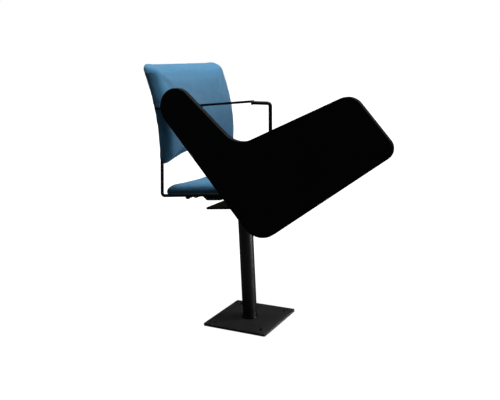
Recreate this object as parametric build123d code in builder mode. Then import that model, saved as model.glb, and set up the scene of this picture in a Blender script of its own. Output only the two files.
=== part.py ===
"""Single-column auditorium seat: tip-up seat, padded back and a folding side tablet.

Millimetres. X points forward, Y to the sitter's left, Z up. The origin is the centre of the
floor plate's underside. The tablet is modelled stowed, hanging beside the right arm.
"""
from build123d import *
import os
from math import acos, atan2, cos, degrees, radians, sin, sqrt, tan

os.makedirs("parts", exist_ok=True)

# ---------------------------------------------------------------- driving dimensions

# floor plate and column
plate_side = 230.0
plate_t = 8.0
plate_corner_r = 6.0
plate_chamfer = 0.8
bolt_spacing = 169.0
bolt_hole_r = 5.5
column_r = 24.15
column_wall = 3.2
foot_weld_leg = 5.0
weld_hollow = 2.0

# welded rod frame: heights are taken from the side rails' centre line above the origin
rod_r = 5.0
rod_bend_r = 8.0
frame_half_width = 198.0
rail_z = 467.6
rake = 4.2
post_x = 198.0
cross_x = 150.0
rail_end_past_cross = 12.0
cross_drop = 6.0
rod_end_chamfer = 1.0
weld_depth = 2.0

# back curve: an upright leans on a straight tangent and then follows an arc
back_curve_r = 547.0
back_apex_x = -163.8
back_apex_rise = 168.0
arc_start_rise = 120.0
upright_top_rise = 372.4
rod_behind_board = 2.5

# arm
arm_rise = 264.4
arm_slope = 2.75
bar_width = 25.0
bar_t = 6.0
bar_front_x = 152.0
bar_above_rod = 3.5
bar_notch_gap = 1.5
post_lean_x = 10.0
arm_corner_drop = 2.4

# plates and channel under the seat (local z runs square to the rails)
top_plate_side = 190.0
top_plate_t = 6.0
top_plate_below_rail = 61.2
channel_x = 7.0
channel_top_width = 80.0
channel_web_width = 50.0
channel_below_rail = 17.0
channel_t = 3.0
channel_lip = 3.75
channel_foot = 1.5
riser_width = 80.0
riser_length = 130.0
riser_wall = 4.0
riser_outer_r = 6.0
riser_bolt_x = 26.0
riser_bolt_y = 45.0
channel_bolt_y = 40.0
m8_r = 4.0
m8_hole_r = 4.5
m8_flats = 13.0
m8_head_t = 5.3
m8_nut_t = 6.5
bolt_tail = 2.0

# seat
axle_x = -88.0
axle_r = 6.0
axle_below_rail = 6.0
bush_wall = 3.44
bush_length = 28.0
running_gap = 0.06
saddle_t = 2.5
saddle_length = 24.0
saddle_wing = 16.0
saddle_y = 140.0
seat_rear_x = -182.0
seat_front_x = 206.0
seat_side_gap = 4.0
seat_board_t = 9.0
seat_board_inset = 12.0
seat_board_corner_r = 30.0
seat_skirt_lap = 11.5
seat_pad_t = 30.0
seat_dish = 10.0
seat_side_roll = 24.0
seat_side_tuck = 2.0
plan_trim = 1.0
seat_front_corner_r = 42.0
seat_rear_corner_r = 20.0
seat_nose = 56.0
seat_nose_under = 4.0
seat_tail = 60.0
# shares of the pad's thickness, and of a rounding's length, that shape the seat's outlines
nose_tip_share = 0.4
shoulder_share = 0.72
nose_shoulder_in = 0.12
nose_top_share = 0.94
nose_top_in = 0.45
tail_shoulder_in = 0.25
side_bulge_share = 0.45
side_shoulder_share = 0.86
side_shoulder_in = 0.27
buffer_r = 11.0
buffer_taper = 12
buffer_y = 120.0
stop_gap = 0.3
wood_screw_r = 2.0
wood_screw_head_r = 4.0
wood_screw_head_t = 2.0
screw_short = 1.0
screw_head_taper = 20

# back
board_t = 8.0
board_gap_to_rod = 3.0
board_top_rise = 376.0
board_low_rise = 98.0
board_corner_r = 30.0
pad_top_rise = 387.4
pad_low_rise = 83.4
pad_wrap_t = 2.0
pad_wrap_edge_r = 4.0
board_lip = 6.0
pad_side_t = 22.0
pad_crown = 9.0
pad_edge_r = 14.0
pad_top_corner_r = 26.0
pad_low_corner_r = 18.0
pad_arch = 28.0
back_sag = 16.0
sheet_trim = 5.0
sheet_reach = 300.0
cover_half_width = 150.0
cover_t = 3.0
cover_margin = 24.0
cover_corner_r = 24.0
clip_t = 4.0
clip_block_t = 48.0
clip_height = 32.0
clip_reach = 34.0
clip_low_rise = 140.0
clip_high_rise = 330.0
clip_screw_in = 12.0
clip_play = 0.1
back_screw_bite = 6.5

# tablet hinge: a flip axis along the arm and a swing pivot square to the board
pivot_x = -67.0
knuckle_r = 7.5
knuckle_gap = 0.5
hinge_pin_r = 4.0
pin_past_leaf = 1.0
small_chamfer = 0.6
moving_knuckle_half = 29.5
fixed_knuckle_length = 22.0
leaf_t = 3.0
leaf_width = 21.0
leaf_screw_inner = 24.0
leaf_screw_outer = 44.0
leaf_screw_r = 2.5
leaf_screw_head_r = 4.5
leaf_screw_bite = 5.0
carrier_r = 42.0
carrier_t = 5.0
carrier_gap = 1.5
pad_bar_width = 18.0
pad_bar_half = 34.0
arm_pad_chamfer = 1.0
stop_drop = 24.0
stop_strap_t = 4.0
stop_half_width = 10.0
stop_lip_height = 11.0
stop_buffer_t = 4.2
buffer_inset = 1.0

shoulder_r = 8.0
thread_r = 6.0
washer_t = 1.4
washer_outer_r = 24.0
washer_play = 0.1
flange_t = 3.0
flange_r = 46.0
flange_tail = 122.0
flange_tail_width = 60.0
flange_corner_r = 14.0
top_washer_t = 0.9
top_washer_r = 18.0
steel_washer_t = 2.0
steel_washer_r = 15.0
nut_flats = 19.0
nut_t = 6.5
stud_tail = 0.8
pocket_r = 20.0
pocket_depth = 11.5
stop_pin_r = 4.0
stop_pin_radius = 30.0
stop_pin_angle = 153.4
slot_gap = 0.4
slot_end_margin = 1.0
swing_range = 53.6

# tablet board, in its own axes: a along the outer edge, b across the lap, from the pivot
board_thick = 16.0
edging_t = 2.0
edging_round = 1.2
neck_r = 55.0
elbow_a = 205.0
elbow_b = 82.0
elbow_r = 75.0
far_inner_a = 309.0
far_b = 427.0
far_inner_r = 45.0
far_outer_a = 493.0
far_outer_r = 32.0
front_outer_a = 453.0
front_outer_r = 68.0
flange_screw_points = [
    (-10.0, 38.0),
    (-10.0, -38.0),
    (72.0, 21.0),
    (72.0, -21.0),
    (112.0, 21.0),
    (112.0, -21.0),
]
flange_screw_depth = 12.0

# ---------------------------------------------------------------- derived places

rake_tan = tan(radians(rake))
arm_tan = tan(radians(arm_slope))
seat_dir = (cos(radians(rake)), 0, sin(radians(rake)))
arm_dir = (cos(radians(arm_slope)), 0, sin(radians(arm_slope)))

# seat plane: local x along the rails, y to the left, z square to them
seat_plane = Plane(origin=(0, 0, rail_z), x_dir=seat_dir, z_dir=(-seat_dir[2], 0, seat_dir[0]))
seat_board_low = -axle_below_rail + axle_r + bush_wall + running_gap
seat_board_top = seat_board_low + seat_board_t
seat_pad_low = seat_board_top - seat_skirt_lap
seat_half_width = frame_half_width - rod_r - seat_side_gap
top_plate_low = -top_plate_below_rail - top_plate_t

back_centre_x = back_apex_x - back_curve_r
back_centre_z = rail_z + back_apex_rise
back_half_width = frame_half_width - rod_r - board_gap_to_rod
pad_half_width = frame_half_width + rod_r + pad_wrap_t
pad_rear = -(rod_behind_board + rod_r + pad_wrap_t)

bar_z0 = rail_z + arm_rise
flip_axis_y = -(frame_half_width + bar_width / 2 + knuckle_r + knuckle_gap)
pivot_point = (pivot_x, flip_axis_y, bar_z0 + pivot_x * arm_tan)
# arm plane: local x forward along the arm, y up, z outboard
arm_plane = Plane(origin=pivot_point, x_dir=arm_dir, z_dir=(0, -1, 0))
# knuckle plane: local x inboard, y up, z forward along the arm
knuckle_plane = Plane(origin=pivot_point, x_dir=(0, 1, 0), z_dir=arm_dir)
# tablet plane: local x along the board's outer edge, y across the lap, z outboard
hang = radians(arm_slope - swing_range)
tablet_plane = Plane(origin=pivot_point, x_dir=(cos(hang), 0, sin(hang)), z_dir=(0, -1, 0))

carrier_low = knuckle_r + carrier_gap
carrier_top = carrier_low + carrier_t
flange_low = carrier_top + washer_t + washer_play
flange_top = flange_low + flange_t
nut_seat = flange_top + 2 * washer_play + top_washer_t
bar_inboard = knuckle_r + knuckle_gap


def rail_height(x):
    """Height of a side rail's centre line."""
    return rail_z + x * rake_tan


def bar_height(x):
    """Height of the arm bar's centre line."""
    return bar_z0 + x * arm_tan


def back_x(z, out=0.0):
    """X of the back curve at a height, moved forward by out (negative is backward)."""
    r = back_curve_r + out
    return back_centre_x + sqrt(r * r - (z - back_centre_z) ** 2)


def sag_at(y, half_width):
    """How far the curved back stands behind its side edges."""
    return back_sag * (1 - (y / half_width) ** 2)


def loft_faces(faces):
    """One solid lofted through faces in order."""
    with BuildPart() as body:
        add(faces)
        loft()
    return body.part


def save(part, name):
    """Label a finished piece and write it."""
    part.label = name
    export_step(part, "parts/" + name + ".step")


# ---------------------------------------------------------------- floor plate and column

with BuildPart() as floor_plate:
    with BuildSketch():
        RectangleRounded(plate_side, plate_side, plate_corner_r)
        with GridLocations(bolt_spacing, bolt_spacing, 2, 2):
            Circle(bolt_hole_r, mode=Mode.SUBTRACT)
    extrude(amount=plate_t)
    chamfer(floor_plate.faces().sort_by(Axis.Z)[-1].outer_wire().edges(), plate_chamfer)
save(floor_plate.part, "floor_plate")

with BuildPart() as column:
    with BuildSketch(Plane.XY.offset(plate_t)):
        Circle(column_r)
        Circle(column_r - column_wall, mode=Mode.SUBTRACT)
    extrude(amount=rail_z - plate_t)
    split(bisect_by=seat_plane.offset(top_plate_low), keep=Keep.BOTTOM)
save(column.part, "column")

with BuildPart() as foot_weld:
    with BuildSketch(Plane.XZ):
        with BuildLine():
            Polyline(
                (column_r, plate_t),
                (column_r + foot_weld_leg, plate_t),
                (column_r + weld_hollow, plate_t + weld_hollow),
                (column_r, plate_t + foot_weld_leg),
                close=True,
            )
        make_face()
    revolve(axis=Axis.Z)
save(foot_weld.part, "foot_weld")

# ---------------------------------------------------------------- rod frame

slope_at_start = (back_centre_z - (rail_z + arc_start_rise)) / (back_curve_r - rod_behind_board)
arc_start_z = rail_z + arc_start_rise
arc_start_x = back_x(arc_start_z, -rod_behind_board)
foot_x = (arc_start_x - slope_at_start * arc_start_rise) / (1 - slope_at_start * rake_tan)
upright_foot = (foot_x, rail_height(foot_x))
upright_top_z = rail_z + upright_top_rise
arc_mid_z = (arc_start_z + upright_top_z) / 2
post_foot = (post_x, rail_height(post_x))
rod_arm_end = (bar_front_x, bar_height(bar_front_x) - bar_above_rod)
arm_corner = (post_x + post_lean_x, rod_arm_end[1] - arm_corner_drop)
left_rail_end = (cross_x + rail_end_past_cross, rail_height(cross_x + rail_end_past_cross))


def bent_rod(y, tail_points):
    """A side frame rod at one side: its upright, its rail and what follows."""
    plane = Plane.XZ.offset(-y)
    with BuildPart() as rod:
        with BuildLine(plane) as path:
            ThreePointArc(
                (back_x(upright_top_z, -rod_behind_board), upright_top_z),
                (back_x(arc_mid_z, -rod_behind_board), arc_mid_z),
                (arc_start_x, arc_start_z),
            )
            FilletPolyline((arc_start_x, arc_start_z), upright_foot, *tail_points, radius=rod_bend_r)
        with BuildSketch(Plane(origin=path.line @ 0, z_dir=path.line % 0)):
            Circle(rod_r)
        sweep()
        top_end = rod.faces().filter_by(GeomType.PLANE).sort_by(Axis.Z)[-1]
        chamfer(top_end.edges(), rod_end_chamfer)
    return rod.part


right_rod = bent_rod(-frame_half_width, [post_foot, arm_corner, rod_arm_end])
save(right_rod, "right_frame_rod")
left_rod = bent_rod(frame_half_width, [left_rail_end])
save(left_rod, "left_frame_rod")


def cross_rod(x, drop, radius):
    """A round rod between the side rails, its ends coped onto them."""
    start = seat_plane.from_local_coords((x, -frame_half_width, -drop))
    with BuildPart() as rod:
        with BuildSketch(Plane(start, x_dir=(1, 0, 0), z_dir=(0, 1, 0))):
            Circle(radius)
        extrude(amount=2 * frame_half_width)
        add([right_rod, left_rod], mode=Mode.SUBTRACT)
    return rod.part.solids().sort_by(SortBy.VOLUME)[-1]


front_cross = cross_rod(cross_x, cross_drop, rod_r)
save(front_cross, "front_cross_rod")
seat_axle = cross_rod(axle_x, axle_below_rail, axle_r)
save(seat_axle, "seat_axle")

# ---------------------------------------------------------------- channel, riser and top plate

half_top = channel_top_width / 2
half_web = channel_web_width / 2
channel_plane = Plane(
    origin=seat_plane.from_local_coords((channel_x, frame_half_width, 0)), x_dir=seat_dir, z_dir=(0, -1, 0)
)
with BuildPart() as cross_channel:
    with BuildSketch(channel_plane):
        with BuildLine():
            Polyline(
                (-half_top, -weld_depth),
                (-half_web, -channel_below_rail),
                (half_web, -channel_below_rail),
                (half_top, -weld_depth),
                (half_top - channel_lip, -weld_depth),
                (half_web - channel_foot, -channel_below_rail + channel_t),
                (-half_web + channel_foot, -channel_below_rail + channel_t),
                (-half_top + channel_lip, -weld_depth),
                close=True,
            )
        make_face()
    extrude(amount=2 * frame_half_width)
    add([right_rod, left_rod], mode=Mode.SUBTRACT)
    with Locations(seat_plane.offset(-channel_below_rail + channel_t)):
        with Locations((channel_x, channel_bolt_y), (channel_x, -channel_bolt_y)):
            Hole(m8_hole_r, depth=channel_t)
save(cross_channel.part, "cross_channel")

riser_height = top_plate_below_rail - channel_below_rail
with BuildPart() as riser_tube:
    with BuildSketch(channel_plane.offset(frame_half_width - riser_length / 2)):
        with Locations((0, -channel_below_rail - riser_height / 2)):
            RectangleRounded(riser_width, riser_height, riser_outer_r)
            RectangleRounded(
                riser_width - 2 * riser_wall,
                riser_height - 2 * riser_wall,
                riser_outer_r - riser_wall,
                mode=Mode.SUBTRACT,
            )
    extrude(amount=riser_length)
    with Locations(seat_plane.offset(-channel_below_rail)):
        with Locations((channel_x, channel_bolt_y), (channel_x, -channel_bolt_y)):
            Hole(m8_hole_r, depth=riser_wall)
    with Locations(seat_plane.offset(-top_plate_below_rail + riser_wall)):
        with Locations((channel_x, 0)):
            with GridLocations(2 * riser_bolt_x, 2 * riser_bolt_y, 2, 2):
                Hole(m8_hole_r, depth=riser_wall)
save(riser_tube.part, "riser_tube")

with BuildPart() as top_plate:
    with BuildSketch(seat_plane.offset(top_plate_low)):
        RectangleRounded(top_plate_side, top_plate_side, plate_corner_r)
        with Locations((channel_x, 0)):
            with GridLocations(2 * riser_bolt_x, 2 * riser_bolt_y, 2, 2):
                Circle(m8_hole_r, mode=Mode.SUBTRACT)
    extrude(amount=top_plate_t)
save(top_plate.part, "top_plate")


def hex_bolts(head_plane, points, grip, up):
    """Bolts with their heads on a plane; the shanks run the other way, up or down."""
    turn = -1 if up else 1
    with BuildPart() as bolts:
        with BuildSketch(head_plane):
            with Locations(*points):
                RegularPolygon(m8_flats / 2, 6, major_radius=False)
        extrude(amount=turn * m8_head_t)
        with BuildSketch(head_plane):
            with Locations(*points):
                Circle(m8_r)
        extrude(amount=-turn * (grip + m8_nut_t + bolt_tail))
    return bolts.part


def hex_nuts(plane, points, up):
    """Nuts that stand on a plane, upward or downward."""
    with BuildPart() as nuts:
        with BuildSketch(plane):
            with Locations(*points):
                RegularPolygon(m8_flats / 2, 6, major_radius=False)
                Circle(m8_r, mode=Mode.SUBTRACT)
        extrude(amount=m8_nut_t if up else -m8_nut_t)
    return nuts.part


riser_points = [(channel_x + i * riser_bolt_x, j * riser_bolt_y) for i in (-1, 1) for j in (-1, 1)]
channel_points = [(channel_x, channel_bolt_y), (channel_x, -channel_bolt_y)]
riser_bolts = hex_bolts(seat_plane.offset(top_plate_low), riser_points, top_plate_t + riser_wall, True)
save(riser_bolts, "riser_bolts")
riser_nuts = hex_nuts(seat_plane.offset(-top_plate_below_rail + riser_wall), riser_points, True)
save(riser_nuts, "riser_nuts")
channel_floor = -channel_below_rail + channel_t
channel_bolts = hex_bolts(seat_plane.offset(channel_floor), channel_points, channel_t + riser_wall, False)
save(channel_bolts, "channel_bolts")
channel_nuts = hex_nuts(seat_plane.offset(-channel_below_rail - riser_wall), channel_points, False)
save(channel_nuts, "channel_nuts")

# ---------------------------------------------------------------- seat

seat_mid_x = (seat_front_x + seat_rear_x) / 2
board_length = seat_front_x - seat_rear_x - 2 * seat_board_inset
saddle_points = [
    (axle_x + i * (axle_r + bush_wall + saddle_t + saddle_wing / 2), j * saddle_y + k * saddle_length / 4)
    for i in (-1, 1)
    for j in (-1, 1)
    for k in (-1, 1)
]

with BuildPart() as seat_board:
    with BuildSketch(seat_plane.offset(seat_board_low)):
        with Locations((seat_mid_x, 0)):
            RectangleRounded(board_length, 2 * (seat_half_width - seat_board_inset), seat_board_corner_r)
        with Locations(*saddle_points):
            Circle(wood_screw_r, mode=Mode.SUBTRACT)
    extrude(amount=seat_board_t)
save(seat_board.part, "seat_board")


pad_low = seat_pad_low
pad_top = seat_pad_low + seat_pad_t
seat_span = seat_front_x - seat_rear_x
shoulder_z = pad_low + seat_pad_t * shoulder_share
nose_shoulder = (seat_front_x - seat_nose * nose_shoulder_in, shoulder_z)
with BuildPart() as seat_profile:
    with BuildSketch(Plane(origin=(0, seat_half_width, rail_z), x_dir=seat_dir, z_dir=(0, -1, 0))):
        with BuildLine():
            Line((seat_rear_x, pad_low), (seat_front_x - seat_nose_under, pad_low))
            ThreePointArc(
                (seat_front_x - seat_nose_under, pad_low),
                (seat_front_x, pad_low + seat_pad_t * nose_tip_share),
                nose_shoulder,
            )
            ThreePointArc(
                nose_shoulder,
                (seat_front_x - seat_nose * nose_top_in, pad_low + seat_pad_t * nose_top_share),
                (seat_front_x - seat_nose, pad_top),
            )
            Line((seat_front_x - seat_nose, pad_top), (seat_rear_x + seat_tail, pad_top))
            ThreePointArc(
                (seat_rear_x + seat_tail, pad_top),
                (seat_rear_x + seat_tail * tail_shoulder_in, shoulder_z),
                (seat_rear_x, pad_low),
            )
        make_face()
    extrude(amount=2 * seat_half_width)

shoulder_y = seat_half_width - seat_side_roll
side_z = pad_low + seat_pad_t * side_bulge_share
tucked_y = seat_half_width - seat_side_tuck
side_shoulder_y = seat_half_width - seat_side_roll * side_shoulder_in
with BuildPart() as seat_width:
    with BuildSketch(Plane(origin=(0, 0, rail_z), x_dir=(0, 1, 0), z_dir=seat_dir)):
        with BuildLine():
            ThreePointArc((-shoulder_y, pad_top), (0, pad_top - seat_dish), (shoulder_y, pad_top))
            for side in (-1, 1):
                ThreePointArc(
                    (side * shoulder_y, pad_top),
                    (side * side_shoulder_y, pad_low + seat_pad_t * side_shoulder_share),
                    (side * seat_half_width, side_z),
                )
                Line((side * seat_half_width, side_z), (side * tucked_y, pad_low))
            Line((-tucked_y, pad_low), (tucked_y, pad_low))
        make_face()
    extrude(amount=seat_span, both=True)

with BuildPart() as seat_cushion:
    with BuildSketch(seat_plane.offset(pad_low)) as seat_plan:
        with Locations((seat_mid_x, 0)):
            Rectangle(seat_span - 2 * plan_trim, 2 * (seat_half_width - plan_trim))
        fillet(seat_plan.vertices().group_by(Axis.X)[0], seat_rear_corner_r)
        fillet(seat_plan.vertices().group_by(Axis.X)[-1], seat_front_corner_r)
    extrude(amount=seat_pad_t)
    add(seat_profile.part, mode=Mode.INTERSECT)
    add(seat_width.part, mode=Mode.INTERSECT)
    with BuildSketch(seat_plane.offset(pad_low)):
        with Locations((seat_mid_x, 0)):
            RectangleRounded(board_length, 2 * (seat_half_width - seat_board_inset), seat_board_corner_r)
    extrude(amount=seat_board_top - pad_low, mode=Mode.SUBTRACT)
save(seat_cushion.part, "seat_cushion")

bush_r = axle_r + running_gap + bush_wall
saddle_outer = bush_r + saddle_t


def across_plane(y):
    """Plane square to the axle at one place across the seat, centred on the axle."""
    centre = seat_plane.from_local_coords((axle_x, y, -axle_below_rail))
    return Plane(origin=centre, x_dir=seat_dir, z_dir=(0, -1, 0))


for side, y in (("right", -saddle_y), ("left", saddle_y)):
    with BuildPart() as bush:
        with BuildSketch(across_plane(y + bush_length / 2)):
            Circle(bush_r)
            Circle(axle_r + running_gap, mode=Mode.SUBTRACT)
        extrude(amount=bush_length)
    save(bush.part, "seat_bush_" + side)

    with BuildPart() as saddle:
        with BuildSketch(across_plane(y + saddle_length / 2)):
            Circle(saddle_outer)
            with Locations((0, bush_r / 2)):
                Rectangle(2 * saddle_outer, bush_r)
            with Locations((0, bush_r - saddle_t / 2)):
                Rectangle(2 * (saddle_outer + saddle_wing), saddle_t)
            Circle(bush_r, mode=Mode.SUBTRACT)
            with Locations((0, bush_r)):
                Rectangle(2 * bush_r, 2 * bush_r, mode=Mode.SUBTRACT)
            with Locations((0, bush_r + saddle_outer)):
                Rectangle(4 * saddle_outer + 4 * saddle_wing, 2 * saddle_outer, mode=Mode.SUBTRACT)
        extrude(amount=saddle_length)
        with Locations(seat_plane.offset(seat_board_low)):
            with Locations(*[p for p in saddle_points if p[1] * y > 0]):
                Hole(wood_screw_r, depth=saddle_t)
    save(saddle.part, "seat_saddle_" + side)

with BuildPart() as saddle_screws:
    with BuildSketch(seat_plane.offset(seat_board_low - saddle_t)):
        with Locations(*saddle_points):
            Circle(wood_screw_head_r)
    extrude(amount=-wood_screw_head_t)
    with BuildSketch(seat_plane.offset(seat_board_low - saddle_t)):
        with Locations(*saddle_points):
            Circle(wood_screw_r)
    extrude(amount=saddle_t + seat_board_t - screw_short)
save(saddle_screws.part, "saddle_screws")

buffer_points = [(cross_x, buffer_y), (cross_x, -buffer_y)]
cross_top = rod_r - cross_drop
with BuildPart() as seat_buffers:
    with BuildSketch(seat_plane.offset(seat_board_low)):
        with Locations(*buffer_points):
            Circle(buffer_r)
    extrude(amount=-(seat_board_low - cross_top - stop_gap), taper=buffer_taper)
save(seat_buffers.part, "seat_buffers")

# ---------------------------------------------------------------- back


def clip_screw_plane(y, z):
    """Plane on a clip's rear face, its normal to the rear."""
    x = back_x(z, -clip_t)
    slope_z = -(z - back_centre_z) / (x - back_centre_x)
    slope_y = 2 * back_sag * y / back_half_width**2
    origin = (x - sag_at(y, back_half_width), y, z)
    return Plane(origin=origin, x_dir=(0, 1, 0), z_dir=(-1, slope_y, slope_z))


def back_section(y, rear, front, low, high):
    """Face of a curved back sheet between two offsets of the back curve."""
    shift = -sag_at(y, back_half_width)
    mid = (low + high) / 2
    with BuildSketch(Plane.XZ.offset(-y)) as face:
        with BuildLine():
            ThreePointArc(
                (back_x(low, rear) + shift, low),
                (back_x(mid, rear) + shift, mid),
                (back_x(high, rear) + shift, high),
            )
            Line((back_x(high, rear) + shift, high), (back_x(high, front) + shift, high))
            ThreePointArc(
                (back_x(high, front) + shift, high),
                (back_x(mid, front) + shift, mid),
                (back_x(low, front) + shift, low),
            )
            Line((back_x(low, front) + shift, low), (back_x(low, rear) + shift, low))
        make_face()
    return face.sketch


def outline(half_width, low, high, low_corner_r, top_corner_r):
    """Front view of a back sheet: rounded corners and a lower edge arched in the middle."""
    with BuildSketch(Plane.YZ.offset(-sheet_reach)) as face:
        with BuildLine():
            ThreePointArc((-half_width, low), (0, low + pad_arch), (half_width, low))
            Polyline((half_width, low), (half_width, high), (-half_width, high), (-half_width, low))
        make_face()
        fillet(face.vertices().group_by(Axis.Y)[0], low_corner_r)
        fillet(face.vertices().group_by(Axis.Y)[-1], top_corner_r)
    return extrude(face.sketch, amount=sheet_reach)


def curved_sheet(half_width, rear, front, low, high):
    """A sheet bent in plan and in side view, with straight edges."""
    places = (-half_width, -half_width / 2, 0, half_width / 2, half_width)
    return loft_faces([back_section(y, rear, front, low, high) for y in places])


def back_sheet(half_width, rear, front, low, high, corner_r):
    """A curved sheet cut to its arched outline."""
    bent = curved_sheet(back_half_width, rear, front, low - sheet_trim, high + sheet_trim)
    cutter = outline(half_width, low, high, corner_r, corner_r)
    with BuildPart() as sheet:
        add(bent)
        add(cutter, mode=Mode.INTERSECT)
    return sheet.part


board_low = rail_z + board_low_rise
board_high = rail_z + board_top_rise
clip_screw_places = [
    (side * (back_half_width - clip_screw_in), rail_z + rise)
    for side in (-1, 1)
    for rise in (clip_low_rise, clip_high_rise)
]

board_blank = back_sheet(back_half_width, 0, board_t, board_low, board_high, board_corner_r)
with BuildPart() as back_board:
    add(board_blank)
    with Locations(*[clip_screw_plane(y, z) for y, z in clip_screw_places]):
        Hole(wood_screw_r, depth=clip_t + back_screw_bite)
save(back_board.part, "back_board")

cover_low = board_low + cover_margin
cover_high = board_high - cover_margin
back_cover = back_sheet(cover_half_width, -cover_t, 0, cover_low, cover_high, cover_corner_r)
save(back_cover, "back_cover")


def pad_section(y):
    """Face of the back pad's blank at one place across the back, crowned up and down."""
    bulge = 1 - (y / pad_half_width) ** 2
    shift = -back_sag * bulge
    low = rail_z + pad_low_rise - sheet_trim
    high = rail_z + pad_top_rise + sheet_trim
    mid = (low + high) / 2
    crown = pad_crown / 2
    front = board_t + pad_side_t + crown * bulge
    with BuildSketch(Plane.XZ.offset(-y)) as face:
        with BuildLine():
            ThreePointArc(
                (back_x(low, pad_rear) + shift, low),
                (back_x(mid, pad_rear) + shift, mid),
                (back_x(high, pad_rear) + shift, high),
            )
            Line((back_x(high, pad_rear) + shift, high), (back_x(high, front) + shift, high))
            ThreePointArc(
                (back_x(high, front) + shift, high),
                (back_x(mid, front) + shift + crown, mid),
                (back_x(low, front) + shift, low),
            )
            Line((back_x(low, front) + shift, low), (back_x(low, pad_rear) + shift, low))
        make_face()
    return face.sketch


pad_reach = pad_half_width + sheet_trim
pad_blank = loft_faces([pad_section(i * pad_reach / 3) for i in range(-3, 4)])
pad_cutter = outline(
    pad_half_width, rail_z + pad_low_rise, rail_z + pad_top_rise, pad_low_corner_r, pad_top_corner_r
)
pocket_sheet = curved_sheet(
    back_half_width, 2 * pad_rear, board_t / 2, board_low - sheet_trim, board_high + sheet_trim
)
pocket_cutter = outline(
    back_half_width - board_lip,
    board_low + board_lip,
    board_high - board_lip,
    board_corner_r,
    board_corner_r,
)
with BuildPart() as board_pocket:
    add(pocket_sheet)
    add(pocket_cutter, mode=Mode.INTERSECT)

with BuildPart() as clip_blocks:
    for side in (-1, 1):
        for rise in (clip_low_rise, clip_high_rise):
            z = rail_z + rise
            with Locations((back_x(z), side * (frame_half_width - clip_reach / 2), z)):
                Box(clip_block_t, clip_reach, clip_height)

clip_sheet = curved_sheet(frame_half_width, -clip_t, -clip_play, board_low, board_high)
slot_sheet = curved_sheet(frame_half_width, -clip_t, board_t / 2, board_low, board_high)
with BuildPart() as clip_slots:
    add(slot_sheet)
    add(clip_blocks.part, mode=Mode.INTERSECT)

with BuildPart() as back_clips:
    add(clip_sheet)
    add(clip_blocks.part, mode=Mode.INTERSECT)
    add([right_rod, left_rod], mode=Mode.SUBTRACT)
    with Locations(*[clip_screw_plane(y, z).offset(clip_t) for y, z in clip_screw_places]):
        Hole(wood_screw_r, depth=3 * clip_t)
save(back_clips.part, "back_clips")

with BuildPart() as back_screws:
    for y, z in clip_screw_places:
        with BuildSketch(clip_screw_plane(y, z).offset(clip_play)):
            Circle(wood_screw_head_r)
        extrude(amount=wood_screw_head_t, taper=screw_head_taper)
        with BuildSketch(clip_screw_plane(y, z).offset(clip_play)):
            Circle(wood_screw_r)
        extrude(amount=-(clip_t + back_screw_bite))
save(back_screws.part, "back_screws")

# ---------------------------------------------------------------- arm bar and flip hinge


def along_arm(x):
    """Plane square to the arm at a distance forward of the pivot."""
    return knuckle_plane.offset(x)


bar_front = (bar_front_x - pivot_x) / arm_dir[0]
bar_rear = (back_x(bar_height(back_apex_x), -rod_behind_board) - pivot_x) / arm_dir[0]
bar_notch_x = back_apex_x + board_t + bar_notch_gap
leaf_half = moving_knuckle_half + knuckle_gap + fixed_knuckle_length
leaf_low = bar_t / 2 + leaf_t
up_dir = Vector(-arm_dir[2], 0, arm_dir[0])
leaf_under = Plane(origin=Vector(pivot_point) - up_dir * leaf_low, x_dir=arm_dir, z_dir=-up_dir)
leaf_screw_points = [
    (i * x, -(bar_inboard + leaf_width / 2)) for x in (leaf_screw_inner, leaf_screw_outer) for i in (-1, 1)
]

with BuildPart() as arm_bar:
    with BuildSketch(along_arm(bar_front)):
        with Locations((bar_inboard + bar_width / 2, 0)):
            Rectangle(bar_width, bar_t)
    extrude(amount=bar_rear - bar_front)
    with BuildSketch(Plane.XY.offset(pivot_point[2])):
        with Locations((bar_notch_x, -back_half_width - bar_notch_gap)):
            Rectangle(2 * bar_width, bar_width, align=(Align.MAX, Align.MIN))
    extrude(amount=bar_width, both=True, mode=Mode.SUBTRACT)
    add(right_rod, mode=Mode.SUBTRACT)
    with Locations(leaf_under.offset(-leaf_t)):
        with Locations(*leaf_screw_points):
            Hole(leaf_screw_r, depth=leaf_screw_bite)
save(arm_bar.part, "arm_bar")

with BuildPart() as back_cushion:
    add(pad_blank)
    add(pad_cutter, mode=Mode.INTERSECT)
    two_faces = back_cushion.faces().sort_by(SortBy.AREA)[-2:].sort_by(Axis.X)
    fillet(two_faces[-1].outer_wire().edges(), pad_edge_r)
    two_faces = back_cushion.faces().sort_by(SortBy.AREA)[-2:].sort_by(Axis.X)
    fillet(two_faces[0].outer_wire().edges(), pad_wrap_edge_r)
    add(board_pocket.part, mode=Mode.SUBTRACT)
    add(board_blank, mode=Mode.SUBTRACT)
    add(clip_slots.part, mode=Mode.SUBTRACT)
    add([right_rod, left_rod], mode=Mode.SUBTRACT)
    add(arm_bar.part, mode=Mode.SUBTRACT)
save(back_cushion.part, "back_cushion")

with BuildPart() as hinge_leaf:
    with BuildSketch(along_arm(-leaf_half)):
        with Locations((bar_inboard + leaf_width / 2, leaf_t / 2 - leaf_low)):
            Rectangle(leaf_width, leaf_t)
    extrude(amount=2 * leaf_half)
    for start in (-leaf_half, leaf_half - fixed_knuckle_length):
        with BuildSketch(along_arm(start)):
            Circle(knuckle_r)
            with Locations((bar_inboard / 2, leaf_t / 2 - leaf_low)):
                Rectangle(bar_inboard, leaf_t)
        extrude(amount=fixed_knuckle_length)
    with BuildSketch(along_arm(-leaf_half)):
        Circle(hinge_pin_r)
    extrude(amount=2 * leaf_half, mode=Mode.SUBTRACT)
    with Locations(leaf_under):
        with Locations(*leaf_screw_points):
            CounterSinkHole(leaf_screw_r, leaf_screw_head_r, depth=leaf_t)
save(hinge_leaf.part, "hinge_leaf")

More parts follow.
